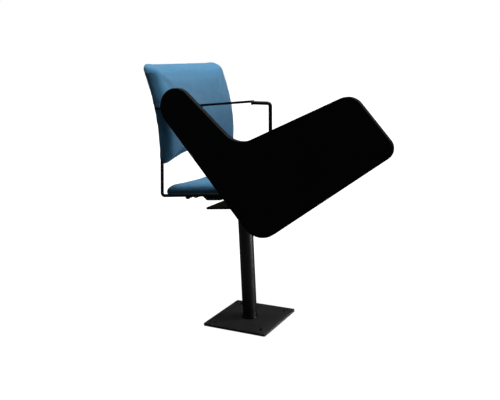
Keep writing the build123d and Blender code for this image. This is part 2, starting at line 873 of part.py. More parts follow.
with BuildPart() as leaf_screws:
    for x, y in leaf_screw_points:
        with BuildSketch(leaf_under):
            with Locations((x, y)):
                Circle(leaf_screw_head_r)
        extrude(amount=-(leaf_screw_head_r - leaf_screw_r), taper=45)
        with BuildSketch(leaf_under):
            with Locations((x, y)):
                Circle(leaf_screw_r)
        extrude(amount=-(leaf_t + leaf_screw_bite))
save(leaf_screws.part, "leaf_screws")

with BuildPart() as hinge_pin:
    with BuildSketch(along_arm(-leaf_half - pin_past_leaf)):
        Circle(hinge_pin_r)
    extrude(amount=2 * (leaf_half + pin_past_leaf))
    chamfer(hinge_pin.edges().filter_by(GeomType.CIRCLE), small_chamfer)
save(hinge_pin.part, "hinge_pin")

with BuildPart() as arm_pad:
    pad_rise = carrier_low - stop_gap - bar_t / 2
    with BuildSketch(along_arm(-pad_bar_half)):
        with Locations((bar_inboard + bar_width / 2, bar_t / 2 + pad_rise / 2)):
            Rectangle(pad_bar_width, pad_rise)
    extrude(amount=2 * pad_bar_half)
    chamfer(arm_pad.faces().sort_by(Axis.Z)[-1].edges(), arm_pad_chamfer)
save(arm_pad.part, "arm_pad")

lip_face = carrier_low - stop_gap - stop_buffer_t
stop_low = leaf_low + stop_drop
strap_x = bar_inboard + leaf_width / 2
with BuildPart() as rest_stop:
    with BuildSketch(along_arm(-stop_half_width)):
        with Locations((strap_x, -(leaf_low + stop_low) / 2)):
            Rectangle(stop_strap_t, stop_drop)
        with Locations(((strap_x + stop_strap_t / 2 - lip_face) / 2, stop_strap_t / 2 - stop_low)):
            Rectangle(strap_x + stop_strap_t / 2 + lip_face, stop_strap_t)
        with Locations((stop_strap_t / 2 - lip_face, stop_strap_t / 2 - stop_low)):
            Rectangle(stop_strap_t, stop_lip_height)
    extrude(amount=2 * stop_half_width)
save(rest_stop.part, "rest_stop")

with BuildPart() as stop_buffer:
    with BuildSketch(along_arm(-stop_half_width)):
        with Locations((-lip_face - stop_buffer_t / 2, stop_strap_t / 2 - stop_low)):
            Rectangle(stop_buffer_t, stop_lip_height - 2 * buffer_inset)
    extrude(amount=2 * stop_half_width)
save(stop_buffer.part, "stop_buffer")

# ---------------------------------------------------------------- carrier and swing pivot

with BuildPart() as carrier_plate:
    with BuildSketch(arm_plane.offset(carrier_low)):
        Circle(carrier_r)
    extrude(amount=carrier_t)
    with BuildSketch(along_arm(-moving_knuckle_half)):
        Circle(knuckle_r)
        with Locations((-carrier_low / 2, 0)):
            Rectangle(carrier_low, 2 * knuckle_r)
        Circle(hinge_pin_r + running_gap, mode=Mode.SUBTRACT)
    extrude(amount=2 * moving_knuckle_half)
save(carrier_plate.part, "carrier_plate")

with BuildPart() as pivot_stud:
    with BuildSketch(arm_plane.offset(carrier_top)):
        Circle(shoulder_r)
    extrude(amount=nut_seat - carrier_top)
    with BuildSketch(arm_plane.offset(nut_seat)):
        Circle(thread_r)
    extrude(amount=steel_washer_t + nut_t + stud_tail)
    chamfer(pivot_stud.faces().sort_by(Axis.Y)[0].edges(), small_chamfer)
save(pivot_stud.part, "pivot_stud")

with BuildPart() as stop_pin:
    with BuildSketch(arm_plane.offset(carrier_top)):
        with PolarLocations(stop_pin_radius, 1, start_angle=stop_pin_angle):
            Circle(stop_pin_r)
    extrude(amount=flange_top - stop_gap - carrier_top)
save(stop_pin.part, "stop_pin")

with BuildPart() as swing_washers:
    with BuildSketch(arm_plane.offset(carrier_top)):
        Circle(washer_outer_r)
        Circle(shoulder_r + washer_play, mode=Mode.SUBTRACT)
    extrude(amount=washer_t)
    with BuildSketch(arm_plane.offset(flange_top + washer_play)):
        Circle(top_washer_r)
        Circle(shoulder_r + washer_play, mode=Mode.SUBTRACT)
    extrude(amount=top_washer_t)
save(swing_washers.part, "swing_washers")

with BuildPart() as stud_washer:
    with BuildSketch(arm_plane.offset(nut_seat)):
        Circle(steel_washer_r)
        Circle(thread_r, mode=Mode.SUBTRACT)
    extrude(amount=steel_washer_t)
save(stud_washer.part, "stud_washer")

with BuildPart() as stud_nut:
    with BuildSketch(arm_plane.offset(nut_seat + steel_washer_t)):
        RegularPolygon(nut_flats / 2, 6, major_radius=False)
        Circle(thread_r, mode=Mode.SUBTRACT)
    extrude(amount=nut_t)
save(stud_nut.part, "stud_nut")

# ---------------------------------------------------------------- tablet

flange_face = tablet_plane.offset(flange_low)
flange_under = Plane(origin=flange_face.origin, x_dir=flange_face.x_dir, z_dir=-flange_face.z_dir)
with BuildPart() as pivot_flange:
    with BuildSketch(flange_face):
        with Locations((flange_tail / 2, 0)):
            RectangleRounded(flange_tail, flange_tail_width, flange_corner_r)
        Circle(flange_r)
        Circle(shoulder_r + running_gap, mode=Mode.SUBTRACT)
        with BuildLine():
            slot_path = CenterArc(
                (0, 0), stop_pin_radius, stop_pin_angle - slot_end_margin, swing_range + 2 * slot_end_margin
            )
        SlotArc(slot_path, 2 * (stop_pin_r + slot_gap), mode=Mode.SUBTRACT)
    extrude(amount=flange_t)
    with Locations(flange_under):
        with Locations(*flange_screw_points):
            CounterSinkHole(wood_screw_r, wood_screw_head_r, depth=flange_t)
save(pivot_flange.part, "pivot_flange")

with BuildPart() as flange_screws:
    for x, y in flange_screw_points:
        with BuildSketch(flange_under):
            with Locations((x, y)):
                Circle(wood_screw_head_r)
        extrude(amount=-(wood_screw_head_r - wood_screw_r), taper=45)
        with BuildSketch(flange_under):
            with Locations((x, y)):
                Circle(wood_screw_r)
        extrude(amount=-(flange_t + flange_screw_depth))
save(flange_screws.part, "flange_screws")

elbow_far = sqrt(elbow_a**2 + elbow_b**2)
tangent_angle = degrees(atan2(elbow_b, elbow_a) + acos(neck_r / elbow_far))
mid_angle = (tangent_angle + 270) / 2


def on_neck(angle):
    """Point of the neck's round end."""
    return (neck_r * cos(radians(angle)), neck_r * sin(radians(angle)))


with BuildLine() as tablet_outline:
    FilletPolyline(
        on_neck(270),
        (front_outer_a, -neck_r),
        (far_outer_a, far_b),
        (far_inner_a, far_b),
        (elbow_a, elbow_b),
        on_neck(tangent_angle),
        radius=[front_outer_r, far_outer_r, far_inner_r, elbow_r],
    )
    ThreePointArc(on_neck(tangent_angle), on_neck(mid_angle), on_neck(270))
whole_edge = Wire(tablet_outline.edges())
board_edge = whole_edge.offset_2d(-edging_t)
tablet_face = tablet_plane.offset(flange_top)

with BuildPart() as tablet_board:
    with BuildSketch(tablet_face):
        make_face(board_edge.edges())
    extrude(amount=board_thick)
    with BuildSketch(tablet_face):
        Circle(pocket_r)
    extrude(amount=pocket_depth, mode=Mode.SUBTRACT)
    with BuildSketch(tablet_face):
        with Locations(*flange_screw_points):
            Circle(wood_screw_r)
    extrude(amount=flange_screw_depth, mode=Mode.SUBTRACT)
save(tablet_board.part, "tablet_board")

with BuildPart() as tablet_edging:
    with BuildSketch(tablet_face):
        make_face(whole_edge.edges())
    extrude(amount=board_thick)
    flat_faces = [tablet_edging.faces().sort_by(Axis.Y)[i] for i in (0, -1)]
    fillet([edge for face in flat_faces for edge in face.outer_wire().edges()], edging_round)
    with BuildSketch(tablet_face):
        make_face(board_edge.edges())
    extrude(amount=board_thick, mode=Mode.SUBTRACT)
save(tablet_edging.part, "tablet_edging")
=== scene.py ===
"""Looks of the single-column auditorium seat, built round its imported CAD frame.

Metres, in the row's own frame: X forward, Y to the sitter's left, Z up, the floor at Z 0.
"""
import math

import bmesh
import bpy
from mathutils import Matrix, Vector, noise


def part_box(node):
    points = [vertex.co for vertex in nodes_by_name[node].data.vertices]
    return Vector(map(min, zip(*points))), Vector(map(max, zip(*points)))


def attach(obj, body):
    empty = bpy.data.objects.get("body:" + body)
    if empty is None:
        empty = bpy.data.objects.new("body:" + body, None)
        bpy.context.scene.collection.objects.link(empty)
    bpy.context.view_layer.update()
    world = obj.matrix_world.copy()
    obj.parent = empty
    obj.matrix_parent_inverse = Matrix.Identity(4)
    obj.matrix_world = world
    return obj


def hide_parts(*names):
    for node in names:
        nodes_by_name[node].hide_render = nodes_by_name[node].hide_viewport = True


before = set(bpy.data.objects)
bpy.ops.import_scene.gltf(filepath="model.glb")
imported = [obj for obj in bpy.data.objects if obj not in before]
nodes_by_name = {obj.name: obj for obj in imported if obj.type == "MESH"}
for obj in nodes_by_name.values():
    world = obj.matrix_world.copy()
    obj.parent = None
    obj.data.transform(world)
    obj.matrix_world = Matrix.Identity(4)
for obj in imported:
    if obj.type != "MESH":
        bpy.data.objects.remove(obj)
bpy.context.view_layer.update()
scene = bpy.context.scene

# ---------------------------------------------------------------- colours (linear)

STEEL_BLUE = (0.054, 0.168, 0.290)
DEEP_BLUE = (0.028, 0.103, 0.191)
PALE_BLUE = (0.100, 0.260, 0.380)
COAT_BLACK = (0.0038, 0.0038, 0.0043)
SLATE = (0.0022, 0.0023, 0.0030)
CHARCOAL = (0.060, 0.060, 0.064)
LAMINATE = (0.0055, 0.0055, 0.0056)
EDGING = (0.0060, 0.0075, 0.0085)
RUBBER = (0.016, 0.016, 0.016)
ZINC = (0.52, 0.53, 0.55)
BLACK_OXIDE = (0.035, 0.035, 0.038)
NYLON = (0.66, 0.64, 0.57)
BIRCH_LIGHT = (0.50, 0.36, 0.21)
BIRCH_DARK = (0.30, 0.19, 0.10)
MOULDED = (0.022, 0.022, 0.024)

THREAD_PITCH = 0.0016  # metres

# ---------------------------------------------------------------- material building


class Shader:
    """A procedural material: one Principled shader and the nodes that feed it."""

    def __init__(self, name, roughness, metallic=0.0, specular=0.5):
        self.material = bpy.data.materials.new(name)
        self.material.use_nodes = True
        self.tree = self.material.node_tree
        self.tree.nodes.clear()
        self.out = self.node("ShaderNodeOutputMaterial")
        self.bsdf = self.node("ShaderNodeBsdfPrincipled")
        self.link(self.bsdf, "BSDF", self.out, "Surface")
        self.bsdf.inputs["Roughness"].default_value = roughness
        self.bsdf.inputs["Metallic"].default_value = metallic
        self.bsdf.inputs["Specular IOR Level"].default_value = specular
        self.coord = self.node("ShaderNodeTexCoord")

    def node(self, kind, **values):
        made = self.tree.nodes.new(kind)
        for key, value in values.items():
            setattr(made, key, value)
        return made

    def link(self, source, output, target, target_input):
        self.tree.links.new(source.outputs[output], target.inputs[target_input])

    def noise(self, scale, detail=3.0, roughness=0.5, stretch=(1.0, 1.0, 1.0)):
        """Noise over the object's own coordinates, scale in cycles per metre."""
        mapping = self.node("ShaderNodeMapping")
        mapping.inputs["Scale"].default_value = stretch
        self.link(self.coord, "Object", mapping, "Vector")
        tex = self.node("ShaderNodeTexNoise")
        tex.inputs["Scale"].default_value = scale
        tex.inputs["Detail"].default_value = detail
        tex.inputs["Roughness"].default_value = roughness
        self.link(mapping, "Vector", tex, "Vector")
        return tex

    def ramp(self, source, output, stops):
        """Colour ramp with (place, colour) stops."""
        ramp = self.node("ShaderNodeValToRGB")
        element = ramp.color_ramp.elements
        while len(element) < len(stops):
            element.new(0.5)
        for stop, (place, colour) in zip(element, stops):
            stop.position = place
            stop.color = (*colour, 1.0)
        self.link(source, output, ramp, "Fac")
        return ramp

    def math(self, operation, a, b=None):
        """Math node; a and b are (node, output) pairs or plain numbers."""
        made = self.node("ShaderNodeMath", operation=operation)
        for i, value in enumerate((a, b)):
            if isinstance(value, tuple):
                self.tree.links.new(value[0].outputs[value[1]], made.inputs[i])
            elif value is not None:
                made.inputs[i].default_value = value
        return made

    def spread(self, source, output, low, high):
        """Map a 0 to 1 value onto a range."""
        made = self.node("ShaderNodeMapRange")
        made.inputs["To Min"].default_value = low
        made.inputs["To Max"].default_value = high
        self.link(source, output, made, "Value")
        return made

    def mix(self, source, output, a, b):
        """Mix two colours, given as plain colours or (node, output) pairs."""
        made = self.node("ShaderNodeMix", data_type="RGBA")
        self.link(source, output, made, 0)
        for index, value in ((6, a), (7, b)):
            if isinstance(value[0], float):
                made.inputs[index].default_value = (*value, 1.0)
            else:
                self.tree.links.new(value[0].outputs[value[1]], made.inputs[index])
        return made

    def bump(self, source, output, strength, distance, soft_edge=0.0):
        """Bump into the shader's normal, over softened edges if a radius is given."""
        made = self.node("ShaderNodeBump")
        made.inputs["Strength"].default_value = strength
        made.inputs["Distance"].default_value = distance
        self.link(source, output, made, "Height")
        if soft_edge > 0:
            bevel = self.node("ShaderNodeBevel", samples=4)
            bevel.inputs["Radius"].default_value = soft_edge
            self.link(bevel, "Normal", made, "Normal")
        self.link(made, "Normal", self.bsdf, "Normal")
        return made


def shade(colour, factor):
    """A colour made lighter or darker."""
    return tuple(c * factor for c in colour)


def powder_coat(name, colour, roughness, specular):
    """Baked powder paint on steel: a fine orange-peel and faint handling marks."""
    s = Shader(name, roughness, specular=specular)
    cloud = s.noise(14.0, 4.0)
    base = s.ramp(cloud, "Fac", [(0.30, shade(colour, 0.80)), (0.75, shade(colour, 1.35))])
    dust = s.noise(260.0, 5.0, 0.7)
    dust_mask = s.ramp(dust, "Fac", [(0.66, (0.0, 0.0, 0.0)), (0.80, (0.35, 0.35, 0.35))])
    colour_mix = s.mix(dust_mask, "Color", (base, "Color"), shade(colour, 3.2))
    s.link(colour_mix, 2, s.bsdf, "Base Color")
    gloss = s.spread(s.noise(45.0, 3.0), "Fac", roughness - 0.07, roughness + 0.09)
    s.link(gloss, "Result", s.bsdf, "Roughness")
    s.bump(s.noise(900.0, 2.0), "Fac", 0.22, 0.0004, soft_edge=0.0006)
    return s.material


def upholstery(name):
    """Plain-woven steel-blue wool: two thread directions, mottled yarn and a soft sheen."""
    s = Shader(name, 0.86, specular=0.15)
    s.bsdf.inputs["Sheen Weight"].default_value = 0.45
    s.bsdf.inputs["Sheen Roughness"].default_value = 0.30
    s.bsdf.inputs["Sheen Tint"].default_value = (0.92, 0.97, 1.0, 1.0)
    split = s.node("ShaderNodeSeparateXYZ")
    s.link(s.coord, "Object", split, "Vector")
    drift = s.spread(s.noise(60.0, 2.0), "Fac", -0.0010, 0.0010)
    along = s.math("ADD", (split, "X"), (split, "Z"))
    warp_place = s.math("ADD", (split, "Y"), (drift, "Result"))
    weft_place = s.math("ADD", (along, "Value"), (drift, "Result"))
    turn = 2 * math.pi / THREAD_PITCH
    warp = s.math("SINE", (s.math("MULTIPLY", (warp_place, "Value"), turn), "Value"))
    weft = s.math("SINE", (s.math("MULTIPLY", (weft_place, "Value"), turn), "Value"))
    crossing = s.math("MULTIPLY", (warp, "Value"), (weft, "Value"))
    weave = s.spread(crossing, "Value", 0.0, 1.0)
    weave.inputs["From Min"].default_value = -1.0
    yarn = s.noise(620.0, 3.0, 0.6, (1.0, 0.35, 1.0))
    tone = s.ramp(yarn, "Fac", [(0.28, DEEP_BLUE), (0.50, STEEL_BLUE), (0.74, PALE_BLUE)])
    mottle = s.noise(9.0, 3.0)
    shaded = s.mix(mottle, "Fac", (tone, "Color"), STEEL_BLUE)
    gap = s.ramp(weave, "Result", [(0.0, (0.66, 0.66, 0.66)), (0.55, (1.0, 1.0, 1.0))])
    woven = s.node("ShaderNodeMix", data_type="RGBA", blend_type="MULTIPLY")
    woven.inputs[0].default_value = 0.75
    s.link(shaded, 2, woven, 6)
    s.link(gap, "Color", woven, 7)
    s.link(woven, 2, s.bsdf, "Base Color")
    relief = s.math("ADD", (weave, "Result"), (s.math("MULTIPLY", (yarn, "Fac"), 0.7), "Value"))
    s.bump(relief, "Value", 0.55, 0.0005)
    return s.material


def laminate(name, colour, roughness):
    """Dark high-pressure laminate with a fine pebble stipple."""
    s = Shader(name, roughness, specular=0.06)
    cloud = s.noise(8.0, 3.0)
    base = s.ramp(cloud, "Fac", [(0.3, shade(colour, 0.85)), (0.8, shade(colour, 1.3))])
    s.link(base, "Color", s.bsdf, "Base Color")
    rub = s.noise(22.0, 5.0, 0.65, (1.0, 1.0, 0.3))
    gloss = s.spread(rub, "Fac", roughness - 0.06, roughness + 0.10)
    s.link(gloss, "Result", s.bsdf, "Roughness")
    cell = s.node("ShaderNodeTexVoronoi")
    cell.inputs["Scale"].default_value = 950.0
    s.link(s.coord, "Object", cell, "Vector")
    s.bump(cell, "Distance", 0.25, 0.0003, soft_edge=0.0008)
    return s.material


def moulded_plastic(name, colour, roughness, grain, specular=0.45):
    """Injection-moulded plastic with spark-eroded grain."""
    s = Shader(name, roughness, specular=specular)
    cloud = s.noise(18.0, 3.0)
    base = s.ramp(cloud, "Fac", [(0.3, shade(colour, 0.88)), (0.8, shade(colour, 1.16))])
    s.link(base, "Color", s.bsdf, "Base Color")
    gloss = s.spread(s.noise(120.0, 3.0), "Fac", roughness - 0.05, roughness + 0.06)
    s.link(gloss, "Result", s.bsdf, "Roughness")
    s.bump(s.noise(1400.0, 3.0, 0.7), "Fac", grain, 0.0003, soft_edge=0.0005)
    return s.material


def metal(name, colour, roughness, streak):
    """Bare or blackened steel, drawn along one way, with small stains."""
    s = Shader(name, roughness, metallic=1.0)
    stain = s.noise(90.0, 5.0, 0.65)
    tones = [(0.25, shade(colour, 0.62)), (0.55, colour), (0.85, shade(colour, 1.25))]
    base = s.ramp(stain, "Fac", tones)
    s.link(base, "Color", s.bsdf, "Base Color")
    lines = s.noise(500.0, 2.0, 0.5, streak)
    gloss = s.spread(lines, "Fac", roughness - 0.10, roughness + 0.14)
    s.link(gloss, "Result", s.bsdf, "Roughness")
    s.bump(lines, "Fac", 0.18, 0.0002, soft_edge=0.0004)
    return s.material


def rubber(name):
    """Moulded black rubber with a dusty bloom."""
    s = Shader(name, 0.78, specular=0.3)
    base = s.ramp(s.noise(150.0, 4.0, 0.7), "Fac", [(0.35, RUBBER), (0.85, shade(RUBBER, 2.4))])
    s.link(base, "Color", s.bsdf, "Base Color")
    s.bump(s.noise(800.0, 3.0), "Fac", 0.3, 0.0004, soft_edge=0.0006)
    return s.material


def plywood(name):
    """Birch plywood with a long grain."""
    s = Shader(name, 0.62, specular=0.35)
    grain = s.noise(42.0, 5.0, 0.62, (0.5, 9.0, 6.0))
    tones = [(0.28, BIRCH_DARK), (0.55, BIRCH_LIGHT), (0.80, shade(BIRCH_LIGHT, 1.25))]
    base = s.ramp(grain, "Fac", tones)
    s.link(base, "Color", s.bsdf, "Base Color")
    s.bump(grain, "Fac", 0.25, 0.0004, soft_edge=0.0008)
    return s.material


black_coat = powder_coat("black_powder_coat", COAT_BLACK, 0.46, 0.20)
slate_coat = powder_coat("slate_powder_coat", SLATE, 0.33, 0.45)
charcoal_coat = powder_coat("charcoal_powder_coat", CHARCOAL, 0.50, 0.35)
cloth = upholstery("steel_blue_weave")
tablet_top = laminate("black_laminate", LAMINATE, 0.62)
edging = moulded_plastic("black_edging", EDGING, 0.50, 0.20, 0.08)
moulded = moulded_plastic("black_moulding", MOULDED, 0.55, 0.35)
nylon = moulded_plastic("natural_nylon", NYLON, 0.42, 0.15)
zinc = metal("zinc_plated_steel", ZINC, 0.34, (1.0, 0.2, 1.0))
black_oxide = metal("black_oxide_steel", BLACK_OXIDE, 0.48, (0.3, 1.0, 1.0))
black_rubber = rubber("black_rubber")
birch = plywood("birch_ply")

NODE_MATERIALS = {
    black_coat: [
        "right_frame_rod", "left_frame_rod", "front_cross_rod", "seat_axle", "cross_channel",
        "riser_tube", "top_plate", "back_clips",
    ],
    slate_coat: ["column", "foot_weld", "arm_bar"],
    charcoal_coat: ["floor_plate"],
    black_oxide: [
        "riser_bolts", "riser_nuts", "channel_bolts", "channel_nuts", "hinge_leaf", "leaf_screws",
        "rest_stop", "seat_saddle_right", "seat_saddle_left", "carrier_plate", "pivot_flange",
        "back_screws",
    ],
    zinc: [
        "hinge_pin", "pivot_stud", "stop_pin", "stud_washer", "stud_nut", "flange_screws",
        "saddle_screws",
    ],
    birch: ["back_board", "seat_board"],
    moulded: ["back_cover"],
    tablet_top: ["tablet_board"],
    edging: ["tablet_edging"],
    black_rubber: ["seat_buffers", "stop_buffer", "arm_pad"],
    nylon: ["seat_bush_right", "seat_bush_left", "swing_washers"],
    cloth: ["seat_cushion", "back_cushion"],
}
for material, names in NODE_MATERIALS.items():
    for name in names:
        mesh = nodes_by_name[name].data
        mesh.materials.clear()
        mesh.materials.append(material)


# ---------------------------------------------------------------- upholstered pads

VOXEL = 0.0045
PAD_SHRINK = 0.0010
PAD_CAP = 0.0025
PAD_WRINKLE = 0.0005
PAD_EASE = 0.010
FILL_GROW = 0.0008
CLOTH_FRAMES = 20


def evaluated_mesh(obj):
    """The object's mesh with its modifiers applied."""
    graph = bpy.context.evaluated_depsgraph_get()
    graph.update()
    return bpy.data.meshes.new_from_object(obj.evaluated_get(graph))


def swap_mesh(obj, mesh):
    """Give an object a new mesh and drop its modifiers."""
    old = obj.data
    obj.modifiers.clear()
    obj.data = mesh
    bpy.data.meshes.remove(old)


def inflate(pad, free):
    """Puff a pad up as cloth under pressure; held points stay, and none moves past the cap."""
    start = [v.co.copy() for v in pad.data.vertices]
    group = pad.vertex_groups.new(name="held")
    group.add([i for i, share in enumerate(free) if share == 0], 1.0, "REPLACE")
    cloth_mod = pad.modifiers.new("cloth", "CLOTH")
    settings = cloth_mod.settings
    settings.quality = 4
    settings.mass = 0.25
    settings.use_pressure = True
    settings.uniform_pressure_force = 1.2
    settings.tension_stiffness = 22.0
    settings.compression_stiffness = 12.0
    settings.shear_stiffness = 8.0
    settings.bending_stiffness = 6.0
    settings.vertex_group_mass = "held"
    settings.effector_weights.gravity = 0.0
    for frame_number in range(1, CLOTH_FRAMES + 1):
        scene.frame_set(frame_number)
    puffed = evaluated_mesh(pad)
    for vertex, rest in zip(puffed.vertices, start):
        move = vertex.co - rest
        if move.length > PAD_CAP:
            vertex.co = rest + move * (PAD_CAP / move.length)
    swap_mesh(pad, puffed)
    scene.frame_set(1)


def add_solid(target, source, grow, cuts):
    """Add a closed mesh to another after growing it a little and cutting parts off it."""
    extra = bmesh.new()
    extra.from_mesh(source)
    extra.normal_update()
    for vertex in extra.verts:
        vertex.co += vertex.normal * grow
    for place, outward in cuts:
        parts = list(extra.verts) + list(extra.edges) + list(extra.faces)
        bmesh.ops.bisect_plane(
            extra, geom=parts, plane_co=place, plane_no=outward, clear_outer=True
        )
        rim = [edge for edge in extra.edges if edge.is_boundary]
        bmesh.ops.holes_fill(extra, edges=rim)
    spare = bpy.data.meshes.new("spare")
    extra.to_mesh(spare)
    extra.free()
    whole = bmesh.new()
    whole.from_mesh(target)
    whole.from_mesh(spare)
    whole.to_mesh(target)
    whole.free()
    bpy.data.meshes.remove(spare)


def remesh_evenly(pad):
    """Give a pad an even mesh of about one voxel's edge length."""
    remesh = pad.modifiers.new("remesh", "REMESH")
    remesh.mode = "VOXEL"
    remesh.voxel_size = VOXEL
    swap_mesh(pad, evaluated_mesh(pad))


def make_pad(node, name, body, form, rise, hold, fill=()):
    """A fabric pad that stands for a CAD cushion, grown from a slightly smaller copy of it.

    form moves a point before the fabric is puffed up. rise gives a point's height over the
    pad's resting side; up to hold the fabric is fixed. fill lists nodes whose holes are filled.
    """
    pad = bpy.data.objects.new(name, nodes_by_name[node].data.copy())
    scene.collection.objects.link(pad)
    for source, cuts in fill:
        add_solid(pad.data, nodes_by_name[source].data, FILL_GROW, cuts)
    remesh_evenly(pad)
    for vertex in pad.data.vertices:
        vertex.co = form(vertex.co)
    remesh_evenly(pad)
    free = [min(1.0, max(0.0, (rise(v.co) - hold) / PAD_EASE)) for v in pad.data.vertices]
    normals = [v.normal.copy() for v in pad.data.vertices]
    for vertex, normal, share in zip(pad.data.vertices, normals, free):
        vertex.co -= normal * (PAD_SHRINK * share)
    inflate(pad, free)
    smooth = pad.modifiers.new("smooth", "SMOOTH")
    smooth.factor = 0.5
    smooth.iterations = 9
    swap_mesh(pad, evaluated_mesh(pad))
    for vertex, share in zip(pad.data.vertices, free):
        ripple = noise.fractal(vertex.co * 22.0, 0.9, 2.2, 3)
        vertex.co += vertex.normal * (share * PAD_WRINKLE * ripple)
    subdivide = pad.modifiers.new("subdivide", "SUBSURF")
    subdivide.levels = 1
    subdivide.render_levels = 1
    swap_mesh(pad, evaluated_mesh(pad))
    pad.data.materials.clear()
    pad.data.materials.append(cloth)
    pad.data.polygons.foreach_set("use_smooth", [True] * len(pad.data.polygons))
    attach(pad, body)
    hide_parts(node)


TILT = math.radians(4.2)
SEAT_SLOPE = math.tan(TILT)
SEAT_REAR_X, _, SEAT_UNDER_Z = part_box("seat_cushion")[0]
RAIL_Z = 0.4676
BACK_RADIUS = 0.547
BACK_APEX = (-0.1638, 0.6356)
BACK_SAG = 0.016
PAD_HALF = 0.205
PAD_LOW_Z = RAIL_Z + 0.0834
ROD_CUTS = [((0, 0, PAD_LOW_Z + 0.020), (0, 0, -1)), ((-0.14, 0, 0), (1, 0, 0))]


def seat_rise(co):
    """Height over the seat pad's underside."""
    return co.z - SEAT_UNDER_Z - (co.x - SEAT_REAR_X) * SEAT_SLOPE


def back_rise(co):
    """Distance in front of the bent board's rear."""
    bend = BACK_APEX[0] - BACK_RADIUS + math.sqrt(BACK_RADIUS**2 - (co.z - BACK_APEX[1]) ** 2)
    return co.x - bend + BACK_SAG * (1 - (co.y / PAD_HALF) ** 2)


PAD_TOP_Z = RAIL_Z + 0.3874
PAD_ARCH = 0.028
ROLL = 0.027
CORNER_REACH = 0.050
CORNER_PUSH = 0.0026
CORNER_STEEPNESS = 2.5
LOW_CORNER_DROP = 0.005
LOW_CORNER_REACH = 0.060


def back_form(co):
    """Roll the back pad's front edges over, hang its lower edge and fill its top corners."""
    drop = LOW_CORNER_DROP * max(0.0, 1 - (co.z - PAD_LOW_Z) / LOW_CORNER_REACH)
    side = PAD_HALF - abs(co.y)
    arch = PAD_ARCH * (1 - (co.y / PAD_HALF) ** 2)
    edge = min(PAD_TOP_Z - co.z, co.z - PAD_LOW_Z - arch)
    inside = ROLL - math.hypot(max(ROLL - side, 0.0), max(ROLL - edge, 0.0))
    share = min(1.0, max(0.0, inside / ROLL))
    lift = back_rise(co)
    if lift > 0 and share < 1:
        lift *= 1 - math.sqrt(1 - (1 - share) ** 2)
    else:
        lift = 0.0
    near = max(0.0, 1 - side / CORNER_REACH) * max(0.0, 1 - (PAD_TOP_Z - co.z) / CORNER_REACH)
    push = CORNER_PUSH * min(1.0, CORNER_STEEPNESS * near)
    return Vector((co.x - lift, co.y + math.copysign(push, co.y), co.z - drop + push))


SKIRT_DROP = 0.003
SKIRT_HEIGHT = 0.012
SKIRT_INNER = 0.174
SKIRT_EASE = 0.006


def seat_form(co):
    """Let the seat's fabric hang a little along its sides, where it wraps the board's edges."""
    low = max(0.0, 1 - seat_rise(co) / SKIRT_HEIGHT)
    outer = min(1.0, max(0.0, (abs(co.y) - SKIRT_INNER) / SKIRT_EASE))
    return Vector((co.x, co.y, co.z - SKIRT_DROP * low * outer))


make_pad("seat_cushion", "seat_pad", "seat", seat_form, seat_rise, 0.004)
make_pad(
    "back_cushion", "back_pad", "frame", back_form, back_rise, 0.006,
    fill=[("right_frame_rod", ROD_CUTS), ("left_frame_rod", ROD_CUTS)],
)


# ---------------------------------------------------------------- building small pieces

SEAT_X = Vector((math.cos(TILT), 0, math.sin(TILT)))
SEAT_Z = Vector((-math.sin(TILT), 0, math.cos(TILT)))
TUBE_SIDES = 10
TURNED_SIDES = 28


def on_seat(x, y, z):
    """World point of a place in the seat plane's own axes."""
    return Vector((0, y, RAIL_Z)) + SEAT_X * x + SEAT_Z * z


def finish_piece(shape, name, material, body):
    """Put a built shape into the scene as a smooth piece on a body."""
    mesh = bpy.data.meshes.new(name)
    shape.to_mesh(mesh)
    shape.free()
    mesh.materials.append(material)
    mesh.polygons.foreach_set("use_smooth", [True] * len(mesh.polygons))
    obj = bpy.data.objects.new(name, mesh)
    scene.collection.objects.link(obj)
    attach(obj, body)


def circle_points(centre, across, other, count):
    """Points round a circle or ellipse given by two half axes."""
    turns = [2 * math.pi * i / count for i in range(count)]
    return [centre + across * math.cos(t) + other * math.sin(t) for t in turns]


def line_points(start, end, count):
    """Evenly spaced points of a straight run."""
    return [start.lerp(end, i / (count - 1)) for i in range(count)]


def add_bead(shape, points, radius, closed, ripple):
    """A bead along points: a tube whose thickness rises and falls as a weld is laid."""
    count = len(points)
    rings = []
    for i, point in enumerate(points):
        after = points[(i + 1) % count] if closed or i < count - 1 else point
        before = points[i - 1] if closed or i > 0 else point
        along = (after - before).normalized()
        side = along.cross(Vector((0.31, 0.17, 0.93))).normalized()
        up = along.cross(side)
        end = 1.0 if closed or 0 < i < count - 1 else 0.45
        wave = math.sin(i * 2.1) + 0.5 * math.sin(i * 0.9 + 1.0)
        swell = radius * end * (1 + ripple * wave)
        section = circle_points(point, side * swell, up * swell, TUBE_SIDES)
        rings.append([shape.verts.new(place) for place in section])
    for first, second in zip(rings, rings[1:] + ([rings[0]] if closed else [])):
        for k in range(TUBE_SIDES):
            n = (k + 1) % TUBE_SIDES
            shape.faces.new((first[k], first[n], second[n], second[k]))
    if not closed:
        shape.faces.new(rings[0][::-1])
        shape.faces.new(rings[-1])


def add_turned(shape, origin, axis, outline):
    """A turned shape: (distance along the axis, radius) pairs swung round the axis."""
    axis = axis.normalized()
    across = axis.orthogonal().normalized()
    other = axis.cross(across)
    rings = []
    for along, radius in outline:
        centre = origin + axis * along
        if radius == 0:
            rings.append([shape.verts.new(centre)])
        else:
            ring = circle_points(centre, across * radius, other * radius, TURNED_SIDES)
            rings.append([shape.verts.new(place) for place in ring])
    for first, second in zip(rings, rings[1:]):
        for k in range(TURNED_SIDES):
            n = (k + 1) % TURNED_SIDES
            if len(second) == 1:
                shape.faces.new((first[k], first[n], second[0]))
            else:
                shape.faces.new((first[k], first[n], second[n], second[k]))


# ---------------------------------------------------------------- welds

